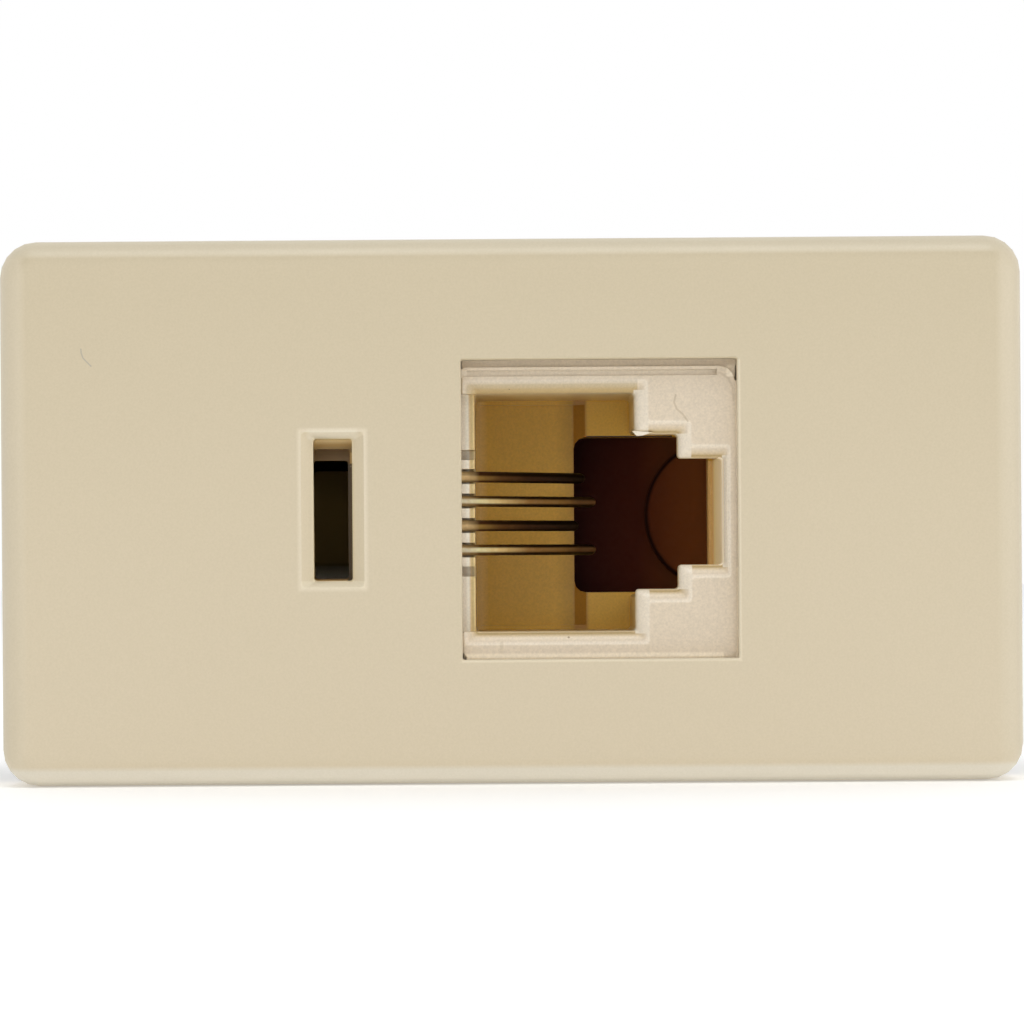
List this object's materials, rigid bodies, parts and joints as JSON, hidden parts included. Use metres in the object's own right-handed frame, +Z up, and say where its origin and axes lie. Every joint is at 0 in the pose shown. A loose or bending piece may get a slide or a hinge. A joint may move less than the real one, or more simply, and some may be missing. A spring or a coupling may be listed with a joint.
{
  "type": "telephone wall socket",
  "caption": "Snap-in wall socket module for a telephone line, with a rounded ivory face, a sideways modular jack and a small bevelled slot.",
  "frame": {"origin": "middle of the module in the plane where the cover's two ends rest on the support frame", "axes": "+X along the face towards the jack's latch side, +Y into the wall, +Z up the face; the face looks along -Y"},
  "size_m": [0.0422, 0.0285, 0.0226],
  "materials": {
    "cover": "smooth ivory thermoplastic, satin",
    "jack": "smooth cream thermoplastic",
    "carrier": "dark thermoset, matt",
    "plate": "brown phenolic, matt",
    "body": "dark thermoset, fine matt texture",
    "contacts": "gold-plated spring wire, bright",
    "terminals": "rolled brass, slightly dulled",
    "fasteners": "zinc-plated steel",
    "yellow_lead": "vinyl insulation",
    "green_lead": "vinyl insulation",
    "black_lead": "vinyl insulation",
    "red_lead": "vinyl insulation"
  },
  "bodies": {
    "root": {"front_cover": "cover", "jack_housing": "jack", "contact_wire_1": "contacts", "contact_wire_2": "contacts", "contact_wire_3": "contacts", "contact_wire_4": "contacts", "contact_carrier": "carrier", "carrier_plate": "plate", "rear_housing": "body", "terminal_1": "terminals", "terminal_2": "terminals", "terminal_3": "terminals", "terminal_4": "terminals", "clamp_washer_1": "fasteners", "clamp_washer_2": "fasteners", "clamp_washer_3": "fasteners", "clamp_washer_4": "fasteners", "terminal_screw_1": "fasteners", "terminal_screw_2": "fasteners", "terminal_screw_3": "fasteners", "terminal_screw_4": "fasteners", "lead_yellow": "yellow_lead", "lead_green": "green_lead", "lead_black": "black_lead", "lead_red": "red_lead"}
  },
  "joints": []
}
